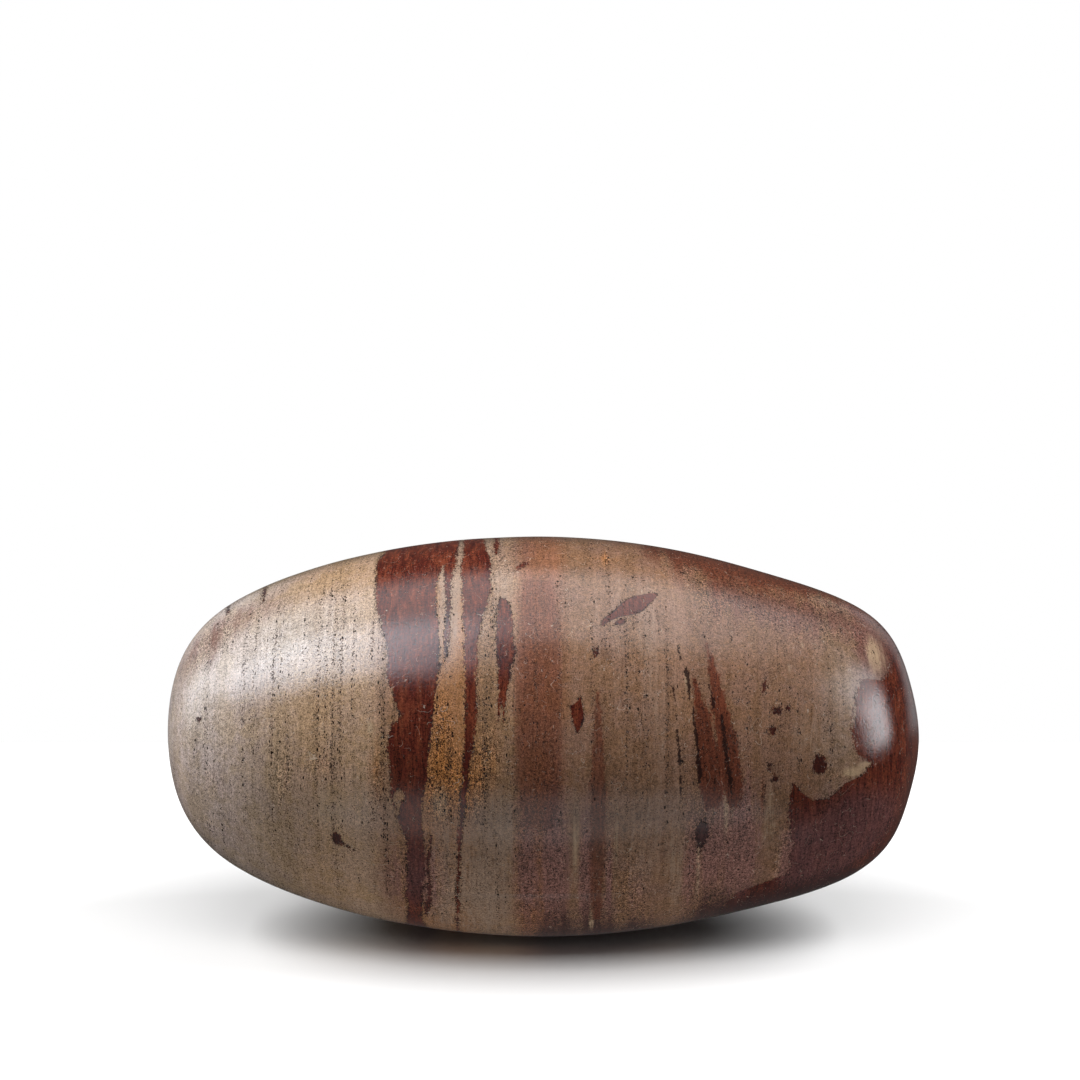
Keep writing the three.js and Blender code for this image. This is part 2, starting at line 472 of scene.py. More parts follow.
# Rows of pits along the bedding: along, girth, spread in mm, spread in degrees, strength.
pitRows = [
    (-131, 30, 0.5, 26, 0.7),
    (-124, 62, 0.66, 14, 0.5),
    (-115.4, 30, 0.44, 34, 0.8),
    (-111.6, 44, 0.44, 30, 0.7),
    (-104, 20, 0.5, 36, 0.8),
    (-101, 40, 0.44, 26, 0.6),
    (-98, 6, 0.5, 22, 0.8),
    (-92, 56, 0.5, 18, 0.6),
    (-86.4, 24, 0.61, 36, 0.9),
    (-83.2, 40, 0.5, 28, 0.8),
    (-80.4, 20, 0.61, 40, 1.0),
    (-77.6, 34, 0.5, 34, 1.0),
    (-73, 40, 0.44, 30, 0.8),
    (-66, 50, 0.5, 30, 0.6),
    (-61.6, 12, 0.83, 18, 1.0),
    (-60.4, -22, 0.77, 16, 0.6),
    (-40.6, 14, 0.66, 12, 0.6),
    (-36, 4, 0.83, 14, 0.9),
    (-23, 12, 0.99, 16, 0.9),
    (-20.4, 40, 0.66, 14, 0.7),
    (-12, 10, 0.5, 16, 0.6),
    (-4, 30, 0.44, 24, 0.5),
    (5, 36, 0.44, 22, 0.7),
    (17, 28, 0.44, 26, 0.9),
    (24, 60, 0.5, 16, 0.6),
    (30, 22, 0.44, 26, 0.9),
    (37, 30, 0.44, 26, 0.8),
    (45, 16, 0.5, 22, 0.9),
    (51, 8, 0.44, 16, 0.6),
    (76, 20, 0.5, 24, 0.7),
    (88, 34, 0.44, 20, 0.5),
    (95.6, 12, 0.5, 24, 0.7),
    (108, 24, 0.5, 22, 0.7),
    (113, 40, 0.44, 16, 0.6),
    (-70, 190, 0.66, 40, 0.8),
    (-30, 200, 0.66, 30, 0.7),
    (20, 172, 0.55, 40, 0.7),
    (80, 196, 0.66, 36, 0.7),
]

# The soft fields that the mesh carries, by the name that the material reads.
softFields = {
    "ash": ashClouds,
    "chalk": paintedSheenClouds,
    "rust": rustClouds,
    "ochre": ochreClouds,
    "mauve": mauveClouds,
    "plum": plumClouds,
    "pink": pinkClouds,
    "pale": paleClouds,
    "topShade": topShadeClouds,
    "pitRow": pitRows,
}

bandDegree = 1.4  # mm along the surface for one degree of girth, at the ends of bands
spotDegree = 1.35  # the same for spots
farInside = 99.0  # mm, deeper than the inside of any marking
closedSpan = 300  # degrees: a band whose rows span more closes round the stone


def turnFrom(girth, centre):
    # The signed angle from centre to girth, from -180 to 180.
    return (girth - centre + 180) % 360 - 180


def bandField(along, girth, rows):
    # How far inside the band a point lies, in mm: from the left edge, from the right edge,
    # and from the nearer end. A band with rows all the way round has no ends.
    rowGirth, left, right = np.array(rows, float).T
    fromLeft = along - np.interp(girth, rowGirth, left, period=360)
    toRight = np.interp(girth, rowGirth, right, period=360) - along
    span = rowGirth[-1] - rowGirth[0]
    if span > closedSpan:
        ends = np.full_like(along, farInside)
    else:
        middle = (rowGirth[-1] + rowGirth[0]) / 2
        ends = (span / 2 - np.abs(turnFrom(girth, middle))) * bandDegree
    return np.stack([fromLeft, toRight, ends], -1)


def spotField(along, girth, spots):
    # How far inside the nearest spot a point lies, in mm. A spot is a tilted ellipse.
    deepest = np.full_like(along, -farInside)
    for spotAlong, spotGirth, halfWidth, halfHeight, tilt in spots:
        dx = along - spotAlong
        dy = turnFrom(girth, spotGirth) * spotDegree
        halfRise = halfHeight * spotDegree
        c, s = math.cos(math.radians(tilt)), math.sin(math.radians(tilt))
        reach = np.hypot((dx * c + dy * s) / halfWidth, (dy * c - dx * s) / halfRise)
        deepest = np.maximum(deepest, (1 - reach) * min(halfWidth, halfRise))
    return deepest


def cloudField(along, girth, clouds):
    # A sum of soft bells of along and girth.
    total = np.zeros_like(along)
    for cloudAlong, cloudGirth, alongSpread, girthSpread, strength in clouds:
        alongBell = bell(along - cloudAlong, alongSpread)
        girthBell = bell(turnFrom(girth, cloudGirth), girthSpread)
        total = total + strength * alongBell * girthBell
    return total


def addField(mesh, name, values):
    # One number or one vector kept at each point.
    kind, key = ("FLOAT_VECTOR", "vector") if values.ndim == 2 else ("FLOAT", "value")
    attribute = mesh.attributes.new(name, kind, "POINT")
    attribute.data.foreach_set(key, values.astype(np.float32).ravel())


def stonePoints(fromRight, girth):
    # All rings, then the right and the left tip, in mm, and the girth of each in degrees.
    angle, turn = np.meshgrid(fromRight[1:-1], girth, indexing="ij")
    grid = stoneSurface(angle, turn).reshape(-1, 3)
    tips = stoneSurface(np.array([0.0, np.pi]), np.zeros(2))
    return np.concatenate([grid, tips]), np.degrees(np.concatenate([turn.ravel(), np.zeros(2)]))


def inNodeBox(point):
    # Moved so that its middle and its lowest point are those of the CAD node.
    low, high = (np.array(corner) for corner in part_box("stone"))
    move = (low + high) / 2 - (point.min(0) + point.max(0)) / 2
    move[2] = low[2] - point[:, 2].min()
    return point + move


def stoneFaces(share):
    # Quads between rings and a fan at each tip, all turned outwards. Each corner's place on
    # the unwrapped surface is its share of a turn and of the arc from the right tip.
    rings, sides = stoneForm["rings"], stoneForm["sides"]
    ring, side = np.meshgrid(np.arange(rings - 1), np.arange(sides), indexing="ij")
    ring, side = ring.ravel(), side.ravel()
    after = (side + 1) % sides
    here, above = ring * sides, (ring + 1) * sides
    quads = np.stack([here + side, here + after, above + after, above + side], -1)
    across = np.stack([side, side + 1, side + 1, side], -1) / sides
    up = share[1 + np.stack([ring, ring, ring + 1, ring + 1], -1)]

    edge = np.arange(sides)
    nextEdge = (edge + 1) % sides
    last = (rings - 1) * sides
    rightTip, leftTip = rings * sides, rings * sides + 1
    rightFan = np.stack([np.full(sides, rightTip), nextEdge, edge], -1)
    leftFan = np.stack([np.full(sides, leftTip), last + edge, last + nextEdge], -1)
    rightAcross = np.stack([edge + 0.5, edge + 1, edge], -1) / sides
    leftAcross = np.stack([edge + 0.5, edge, edge + 1], -1) / sides
    tipUp = np.tile([0, share[1], share[1]], (sides, 1))

    faces = quads.tolist() + rightFan.tolist() + leftFan.tolist()
    pairs = ((across, up), (rightAcross, tipUp), (leftAcross, 1 - tipUp))
    return faces, np.concatenate([np.stack(pair, -1).reshape(-1, 2) for pair in pairs])


def stoneMesh():
    # The surface on its grid, seated and set in the CAD node's box, with how far each point
    # lies inside every marking and how strong each soft field is there.
    share, fromRight, girth = stoneGrid()
    point, girths = stonePoints(fromRight, girth)
    along = point[:, 0].copy()
    faces, places = stoneFaces(share)
    mesh = bpy.data.meshes.new("stoneSkin")
    mesh.from_pydata(inNodeBox(seated(point) * mm).tolist(), [], faces)
    unwrapped = mesh.uv_layers.new(name="OFBake")
    unwrapped.uv.foreach_set("vector", places.astype(np.float32).ravel())
    mesh.polygons.foreach_set("use_smooth", np.ones(len(mesh.polygons), bool))

    for name, rows in {**darkBands, **lightCuts, **veins, **fissures}.items():
        addField(mesh, name, bandField(along, girths, rows))
    addField(mesh, "smallSpots", spotField(along, girths, smallSpots))
    for name, clouds in softFields.items():
        addField(mesh, name, cloudField(along, girths, clouds))
    addField(mesh, "along", along)
    return mesh


class Socket:
    # A node's output. Arithmetic on it adds Math nodes, so a formula reads as a formula.
    def __init__(self, tree, output):
        self.tree = tree
        self.output = output

    def node(self, kind, settings=None, inputs=None, result=0):
        return addNode(self.tree, kind, settings, inputs, result)

    def math(self, operation, *values):
        return self.node("Math", {"operation": operation}, dict(enumerate(values)))

    def __add__(self, other):
        return self.math("ADD", self, other)

    def __radd__(self, other):
        return self.math("ADD", other, self)

    def __sub__(self, other):
        return self.math("SUBTRACT", self, other)

    def __rsub__(self, other):
        return self.math("SUBTRACT", other, self)

    def __mul__(self, other):
        return self.math("MULTIPLY", self, other)

    def __rmul__(self, other):
        return self.math("MULTIPLY", other, self)

    def __truediv__(self, other):
        return self.math("DIVIDE", self, other)

    def least(self, other):
        return self.math("MINIMUM", self, other)

    def most(self, other):
        return self.math("MAXIMUM", self, other)

    def size(self):
        return self.math("ABSOLUTE", self)

    def fraction(self):
        return self.math("FRACT", self)

    def ramp(self, low, high):
        # 0 at low, 1 at high, smooth between.
        settings = {"interpolation_type": "SMOOTHSTEP"}
        return self.node("MapRange", settings, {"Value": self, "From Min": low, "From Max": high})

    def line(self, inner, outer):
        # 1 on the line where it is 0, falling to 0 between inner and outer from there.
        return 1 - self.size().ramp(inner, outer)

    def stretched(self, factors):
        # A vector multiplied axis by axis, or as it is where there are no factors.
        if factors is None:
            return self
        return self.node("VectorMath", {"operation": "MULTIPLY"}, {0: self, 1: factors})


def addNode(tree, kind, settings=None, inputs=None, result=0):
    # Makes a node: its settings first, then the values or links of its sockets.
    made = tree.nodes.new("ShaderNode" + kind)
    for name, value in (settings or {}).items():
        if name == "stops":
            fillRamp(made.color_ramp, value)
        else:
            setattr(made, name, value)
    for name, value in (inputs or {}).items():
        if isinstance(value, Socket):
            tree.links.new(value.output, made.inputs[name])
        else:
            made.inputs[name].default_value = value
    return Socket(tree, made.outputs[result])


def fillRamp(ramp, stops):
    # Each stop is a position from 0 to 1 and a colour.
    while len(ramp.elements) < len(stops):
        ramp.elements.new(1.0)
    for element, (position, colour) in zip(ramp.elements, stops):
        element.position = position
        element.color = colour


def srgb(red, green, blue):
    # An sRGB colour from 0 to 255 as linear light with alpha.
    shares = np.array([red, green, blue]) / 255
    linear = np.where(shares <= 0.04045, shares / 12.92, ((shares + 0.055) / 1.055) ** 2.4)
    return (*linear.tolist(), 1.0)


def blended(amount, under, over, mode="MIX"):
    # Colour under, covered by colour over as far as amount says. Sockets 6, 7 and output 2
    # are the Mix node's colours.
    tree = next(v.tree for v in (amount, under, over) if isinstance(v, Socket))
    settings = {"data_type": "RGBA", "blend_type": mode, "clamp_factor": True}
    return addNode(tree, "Mix", settings, {0: amount, 6: under, 7: over}, 2)


def tinted(under, light):
    # A colour times a number.
    grey = light.node("CombineColor", None, {0: light, 1: light, 2: light})
    return blended(1.0, under, grey, "MULTIPLY")


def noise(place, scale, detail, rough):
    # 0 to 1 noise at a vector, with scale in features per unit of it.
    settings = {"noise_dimensions": "3D"}
    inputs = {"Vector": place, "Scale": scale, "Detail": detail, "Roughness": rough}
    return place.node("TexNoise", settings, inputs)


# What a user would change in the stone's finish. Colours are sRGB, lengths mm.
jasperLook = {
    "sand": (165, 145, 124),
    "warmSand": (168, 140, 111),
    "paleSand": (180, 162, 146),
    "straw": (146, 115, 88),
    "gold": (154, 110, 72),
    "peach": (136, 94, 70),
    "dun": (136, 104, 81),
    "fawn": (129, 98, 76),
    "greyFawn": (134, 110, 90),
    "clay": (116, 84, 74),
    "claret": (86, 38, 29),
    "layers": [  # the bedding from left to right: a place on X and a colour
        (-150, "paleSand"),
        (-128, "paleSand"),
        (-112, "sand"),
        (-88, "warmSand"),
        (-67, "warmSand"),
        (-60, "straw"),
        (-45, "gold"),
        (-32, "gold"),
        (-25, "straw"),
        (-14, "straw"),
        (-9, "peach"),
        (3, "peach"),
        (9, "dun"),
        (50, "dun"),
        (58, "fawn"),
        (100, "fawn"),
        (110, "greyFawn"),
        (116, "greyFawn"),
        (122, "clay"),
        (130, "clay"),
        (136, "claret"),
    ],
    "layerEnd": 150,  # the layers are laid from this far left of the middle to this far right
    "ash": (160, 132, 110),
    # Painted sheen: the whiter colour laid where the highlights fall.
    "chalk": (186, 176, 166),
    "pink": (108, 72, 60),
    "ochre": (156, 99, 50),
    "mauve": (136, 95, 85),
    "plum": (70, 41, 37),
    "rust": (102, 55, 37),
    "pale": (192, 162, 128),
    "stains": {  # in the order laid: the cloud's strength where it starts and is full, cover
        "pink": (0.05, 0.9, 0.9),
        "ochre": (0.05, 0.95, 0.85),
        "mauve": (0.05, 0.9, 0.9),
        "plum": (0.05, 0.9, 0.95),
        "rust": (0.05, 0.9, 1.0),
        "pale": (0.1, 0.9, 0.85),
    },
    "ashStain": (0.05, 0.9, 0.9),
    "warmTint": (1.09, 0.99, 0.87, 1.0),  # these three multiply the colour under them
    "coolTint": (1.06, 1.0, 1.05, 1.0),
    # painted shade along the top
    "topShadeTint": (0.56, 0.6, 0.62, 1.0),
    "vein": (100, 50, 33),
    "veinEdges": {"redZone": (0.5, 1.6), "darkColumn": (0.75, 1.0)},  # cover, soft edge
    "usualVeinEdge": (0.95, 0.5),
    "maroonDeep": (80, 30, 20),
    "maroonLit": (112, 54, 34),
    "maroonRim": (40, 20, 18),
    "mauveMaroon": (104, 70, 68),
    "plumMaroon": (54, 30, 29),
    "crack": (46, 24, 22),
    "pit": (24, 14, 9),
    "hollow": (30, 19, 14),  # the matt floor of pits and cracks
    "halo": (106, 66, 40),  # brown round the rows of pits
    "fleck": (196, 152, 112),
    "hair": (62, 42, 32),
    "scratch": (214, 192, 166),
    "roughness": 0.17,
    "leastRoughness": 0.12,
    "ior": 1.54,
    "noises": {  # space, stretch, features per mm, detail, roughness
        "sway": ("place", None, 0.022, 2.0, 0.5),
        "broadLayers": ("laid", (1, 0.05, 0.05), 0.16, 3.0, 0.6),
        "fineLayers": ("laid", (1, 0.06, 0.06), 0.8, 4.0, 0.65),
        "streaks": ("laid", (1, 0.1, 0.1), 1.6, 3.0, 0.65),
        "upLines": ("place", (1, 0.05, 0.05), 3.2, 2.0, 0.7),
        "longLines": ("place", (0.06, 1, 1), 4.0, 2.0, 0.6),
        "mottle": ("place", None, 0.07, 4.0, 0.6),
        "blotch": ("place", None, 0.32, 4.0, 0.65),
        "grain": ("place", None, 1.0, 3.0, 0.85),
        "dust": ("place", None, 2.6, 1.0, 0.5),
        "tear": ("laid", (1, 0.4, 0.4), 0.45, 3.0, 0.75),
        "fray": ("place", (1, 0.7, 0.7), 1.1, 3.0, 0.8),
        "maroonTone": ("laid", (1, 0.2, 0.2), 0.35, 4.0, 0.65),
        "rowBend": ("laid", (1, 0.02, 0.02), 0.13, 1.0, 0.5),
        "hairBend": ("laid", (1, 0.035, 0.035), 0.5, 2.0, 0.6),
    },
    "sharedNoises": [
        "broadLayers", "fineLayers", "streaks", "upLines", "longLines", "mottle", "blotch",
        "grain", "dust", "tear", "fray",
    ],
    "laidBend": 6,  # how far sway bends the bedding
    "weights": {  # how much of each noise, from -0.5 to 0.5, a sum takes
        "layerBend": {"sway": 4, "mottle": 8},
        "bedLight": {
            "broadLayers": 0.7, "fineLayers": 0.7, "streaks": 0.45, "mottle": 0.3,
            "blotch": 0.9, "grain": 2.2, "dust": 2.2, "upLines": 0.3,
        },
        "hue": {"mottle": 2.4, "broadLayers": 1.2, "blotch": 1.4},
        "breakUp": {"broadLayers": 1.3, "fineLayers": 0.8, "streaks": 0.5, "blotch": 0.7},
        "stainLight": {"grain": 4.0, "streaks": 1.6, "dust": 3.4, "fineLayers": 0.9},
        "veinLight": {"grain": 3.0, "streaks": 2.0, "dust": 2.0, "fineLayers": 1.6},
        "ragged": {"tear": 4.0, "fray": 6.5},
        "maroonLight": {
            "streaks": 1.6, "grain": 3.4, "dust": 2.0, "upLines": 0.6, "fineLayers": 1.2,
        },
        "patchy": {"mottle": 1.4, "blotch": 1.2, "streaks": 0.8},
        "roughness": {"fineLayers": 0.1, "mottle": 0.08, "blotch": 0.1},
        "height": {
            "grain": 0.06, "dust": 0.02, "streaks": 0.02, "longLines": 0.012, "upLines": 0.012,
        },
    },
    "pitRowSpacing": 5.2,
    "pitLayers": [  # space, cells per mm, pull of the rows, rarity, size in cells
        ("laid", (1.2, 0.62, 0.62), 0.55, 0.99, 0.28),
        ("place", (1.7, 1.3, 1.3), 0.5, 0.99, 0.3),
    ],
    "tinyPits": ("place", (2.5, 2.0, 2.0), 0.5, 0.95, 0.36),
    "scratches": [(0.16, 0.005, 0.56), (0.33, 0.008, 0.57)],  # scale, width, rarity
}


def rockNoise(rock, name):
    # Noise from 0 to 1, as the look's row of that name says.
    space, stretch, scale, detail, rough = jasperLook["noises"][name]
    return noise(getattr(rock, space).stretched(stretch), scale, detail, rough)


def rockPlaces(tree):
    # The place on the stone in mm, the same place on the gently bent bedding, and the noises
    # that several sums share, from -0.5 to 0.5.
    objectPlace = addNode(tree, "TexCoord", result="Object")
    rock = SimpleNamespace(tree=tree, place=objectPlace.stretched((1 / mm, 1 / mm, 1 / mm)))
    rock.sway = rockNoise(rock, "sway") - 0.5
    rock.x, y, z = [rock.place.node("SeparateXYZ", None, {0: rock.place}, axis) for axis in range(3)]
    bent = rock.x + rock.sway * jasperLook["laidBend"]
    rock.laid = rock.place.node("CombineXYZ", None, {"X": bent, "Y": y, "Z": z})
    for name in jasperLook["sharedNoises"]:
        setattr(rock, name, rockNoise(rock, name) - 0.5)
    return rock


def weighed(rock, name, start=None):
    # start, plus each noise times its weight in the look's row of that name.
    total = start
    for noiseName, weight in jasperLook["weights"][name].items():
        part = getattr(rock, noiseName) * weight
        total = part if total is None else total + part
    return total


def field(rock, name, result="Fac"):
    # What the mesh keeps at each point: a number, or a vector where result says Vector.
    return addNode(rock.tree, "Attribute", {"attribute_name": name}, None, result)


def painted(under, mask, name, strength):
    # Covered by the look's colour of that name as far as mask times strength says.
    return blended(mask * strength, under, srgb(*jasperLook[name]))


def beddingColour(rock, light):
    # The layers' colours by place along the stone, times light, and warmer or cooler in
    # patches.
    look = jasperLook
    end = look["layerEnd"]
    stops = [((x + end) / (2 * end), srgb(*look[name])) for x, name in look["layers"]]
    layerPlace = (weighed(rock, "layerBend", field(rock, "along")) + end) / (2 * end)
    base = layerPlace.node("ValToRGB", {"stops": stops}, {"Fac": layerPlace})
    hue = (weighed(rock, "hue") + 0.5).ramp(0.1, 0.9)
    tint = blended(hue, look["warmTint"], look["coolTint"])
    return blended(1.0, tinted(base, light), tint, "MULTIPLY")


def stained(rock, under, name, stain):
    # A cloud of iron stain, broken up by the bedding where the cloud isn't faint. The plum clouds
    # darken the stone towards the underside.
    low, high, cover = stain
    amount = field(rock, name)
    broken = amount + rock.breakUp * amount.ramp(0.0, 0.4)
    return painted(under, broken.ramp(low, high), name, cover)


def stainSpeckle(rock):
    # How strongly the grain shows: most where the stone is stained.
    cover = field(rock, "mauve") + field(rock, "rust") + field(rock, "plum") + field(rock, "pink")
    cover = cover + field(rock, "ash") * 0.6
    return field(rock, "ochre").ramp(0.1, 0.6) * 1.4 + cover.ramp(0.1, 0.8)


def stainedBedding(rock):
    # The bedding with its stains and painted sheen, speckled by grain, with painted shade along the
    # top.
    look = jasperLook
    light = weighed(rock, "bedLight", 1)
    colour = stained(rock, beddingColour(rock, light), "ash", look["ashStain"])
    # Painted sheen: the whiter colour laid in the sheen clouds, where the highlights fall.
    chalk = field(rock, "chalk") * (1 + rock.breakUp * 0.8)
    colour = blended(chalk, colour, tinted(srgb(*look["chalk"]), light))
    for name, stain in look["stains"].items():
        colour = stained(rock, colour, name, stain)
    colour = tinted(colour, 1 + weighed(rock, "stainLight") * rock.speckle)
    # Painted shade: the top darkened by the topShade clouds.
    shade = (field(rock, "topShade") + rock.breakUp * 0.25).ramp(0.0, 1.0)
    return blended(shade, colour, look["topShadeTint"], "MULTIPLY")


def inside(rock, name, raggedness):
    # How far inside a marking a point lies, in mm: the least of the three distances that
    # bandField gives, made ragged.
    band = field(rock, name, "Vector")
    fromLeft, toRight, ends = [band.node("SeparateXYZ", None, {0: band}, axis) for axis in range(3)]
    return fromLeft.least(toRight).least(ends) + rock.ragged * raggedness


def veined(rock, colour):
    # Red veins with soft edges that follow the layers.
    look = jasperLook
    veinColour = tinted(srgb(*look["vein"]), weighed(rock, "veinLight", 1))
    for name in veins:
        cover, softness = look["veinEdges"].get(name, look["usualVeinEdge"])
        depth = inside(rock, name, 0.7) + (rock.blotch + rock.broadLayers + rock.fineLayers) * 2
        colour = blended(depth.ramp(-0.9, softness) * cover, colour, veinColour)
    return colour


def darkDepth(rock):
    # How far inside the dark bands and spots a point lies, outside the pale cuts.
    dark = field(rock, "smallSpots") + rock.ragged * 0.6
    for name in darkBands:
        dark = dark.most(inside(rock, name, edgeRaggedness.get(name, usualRaggedness)))
    for name in lightCuts:
        dark = dark.least(inside(rock, name, 0.6) * -1)
    return dark


def maroonColour(rock):
    # Deep to lit maroon, duller in mauve and plum clouds, streaked, with darker rims.
    look = jasperLook
    tone = (rockNoise(rock, "maroonTone") + rock.streaks * 0.3).ramp(0.36, 0.7)
    maroon = blended(tone, srgb(*look["maroonDeep"]), srgb(*look["maroonLit"]))
    maroon = painted(maroon, field(rock, "mauve").ramp(0.15, 0.9), "mauveMaroon", 0.7)
    # Darker in the plum clouds, towards the underside.
    maroon = painted(maroon, field(rock, "plum").ramp(0.15, 0.8), "plumMaroon", 0.8)
    maroon = tinted(maroon, weighed(rock, "maroonLight", 1))
    core = (rock.dark + rock.blotch * 2).ramp(0.2, 1.1)
    broken = (rock.blotch * 2 + rock.mottle * 2 + 0.5).ramp(0.4, 0.7)
    maroon = painted(maroon, (1 - core) * broken, "maroonRim", 0.9)
    return painted(maroon, field(rock, "smallSpots").ramp(-0.4, 0.3), "maroonRim", 0.65)


def crackMask(rock):
    # 1 inside a crack, from the deepest of the cracks' depths, each a little widened.
    deepest, *others = [inside(rock, name, 0.5) + 0.12 for name in fissures]
    for depth in others:
        deepest = deepest.most(depth)
    return deepest.ramp(-0.12, 0.2)


def pitRowStrength(rock):
    # The placed rows of pits, and fainter rows at bent equal steps along the stone.
    phase = rock.x / jasperLook["pitRowSpacing"] + rockNoise(rock, "rowBend") * 5 + rock.sway * 1.5
    dotted = (phase.fraction() - 0.5).line(0.02, 0.1)
    placed = field(rock, "pitRow") * (1 + rock.blotch * 3)
    return placed + dotted * (rock.patchy + 0.5).ramp(0.3, 0.7) * 0.45


def pitLayer(rock, rim, space, cells, pull, rarity, size):
    # Pits in the cells whose chance, raised by rows, patches, band edges and stains, passes
    # rarity: each is a disc about the cell's point with a radius of 0.8 to 1.8 times size.
    laidCells = getattr(rock, space).stretched(cells)
    distance = laidCells.node("TexVoronoi", {"feature": "F1"}, {"Vector": laidCells, "Scale": 1.0})
    tone = Socket(rock.tree, distance.output.node.outputs["Color"])
    chance, spread = [tone.node("SeparateColor", None, {0: tone}, channel) for channel in (0, 1)]
    likely = rock.pitRow * pull + rock.patchy * 0.1 + rim * 0.5
    likely = likely + rock.speckle * 0.025 - rock.darkMask * 0.12
    disc = (spread * size + size * 0.8 - distance).ramp(0.0, 0.12)
    return disc * (chance + likely).ramp(rarity, rarity + 0.03)


def pitMask(rock):
    # Pits of three sizes, most of them near the dark bands' edges, and the tiny ones faint.
    look = jasperLook
    rim = (1 - (rock.dark + 0.15).size()).ramp(0.3, 1.0)
    dashes, specks = [pitLayer(rock, rim, *layer) for layer in look["pitLayers"]]
    return dashes.most(specks).most(pitLayer(rock, rim, *look["tinyPits"]) * 0.8)


def scratchMask(rock, scale, width, rarity):
    # Short pieces of thin contour lines of a noise.
    thin = (noise(rock.place, scale, 1.0, 0.5) - 0.5).line(width * 0.3, width)
    return thin * noise(rock.place, scale * 0.8, 3.0, 0.7).ramp(rarity, rarity + 0.03)


def wornColour(rock, colour):
    # Brown haloes round the rows of pits, pale flecks, pits, dark hairlines and pale scratches.
    haloed = rock.pitRow.ramp(0.15, 1.2) * (rock.blotch * 2 + rock.streaks + 0.5).ramp(0.2, 0.8)
    colour = painted(colour, haloed * (1 - rock.darkMask), "halo", 0.3)
    bright = rock.grain.most(rock.dust * 0.9).ramp(0.17, 0.25) * (rock.patchy + 0.5).ramp(0.5, 0.8)
    colour = painted(colour, bright * (1 - rock.darkMask * 0.7), "fleck", 0.6)
    colour = painted(colour, rock.pit, "pit", 0.95)
    hair = (rockNoise(rock, "hairBend") - 0.5).line(0.004, 0.016)
    colour = painted(colour, hair * (rock.patchy * 0.6 + 0.5).ramp(0.52, 0.66), "hair", 0.55)
    return painted(colour, rock.scratch, "scratch", 0.45)


def polishedJasper():
    # Polished stone. Its colour is laid on in turn: bedding, stains, veins, maroon bands,
    # cracks and wear. Pits and cracks show a matt floor.
    look = jasperLook
    material = bpy.data.materials.new("polishedJasper")
    material.use_nodes = True
    tree = material.node_tree
    tree.nodes.clear()

    rock = rockPlaces(tree)
    rock.breakUp = weighed(rock, "breakUp")
    rock.ragged = weighed(rock, "ragged")
    rock.patchy = weighed(rock, "patchy")
    rock.speckle = stainSpeckle(rock)
    rock.dark = darkDepth(rock)
    rock.darkMask = rock.dark.ramp(-0.1, 0.14)
    rock.crack = crackMask(rock)
    rock.pitRow = pitRowStrength(rock)
    rock.pit = pitMask(rock)
    wide, narrow = [scratchMask(rock, *values) for values in look["scratches"]]
    rock.scratch = wide.most(narrow)

    colour = veined(rock, stainedBedding(rock))
    colour = blended(rock.darkMask, colour, maroonColour(rock))
    colour = painted(colour, rock.crack, "crack", 0.85)
    colour = wornColour(rock, colour)
    roughness = weighed(rock, "roughness", look["roughness"]) - rock.darkMask * 0.02
    roughness = (roughness + rock.scratch * 0.15).most(look["leastRoughness"])
    height = weighed(rock, "height") - rock.pit * 0.05 - rock.scratch * 0.03  # in mm
    bump = height.node("Bump", None, {"Height": height, "Strength": 1.0, "Distance": mm})

    inputs = {"Base Color": colour, "Roughness": roughness, "Normal": bump, "IOR": look["ior"]}
    polished = addNode(tree, "BsdfPrincipled", None, inputs)
    hollow = addNode(tree, "BsdfDiffuse", None, {"Color": srgb(*look["hollow"])})
    matt = (rock.crack * 0.45).most(rock.pit * 0.85)
    shader = addNode(tree, "MixShader", None, {0: matt, 1: polished, 2: hollow})
    output = tree.nodes.new("ShaderNodeOutputMaterial")
    tree.links.new(shader.output, output.inputs["Surface"])
    return material


stone = bpy.data.objects.new("stone_skin", stoneMesh())
bpy.context.scene.collection.objects.link(stone)
stone.data.materials.append(polishedJasper())
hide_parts("stone")
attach(stone, "root")
print("stone made:", len(stone.data.polygons), "faces")


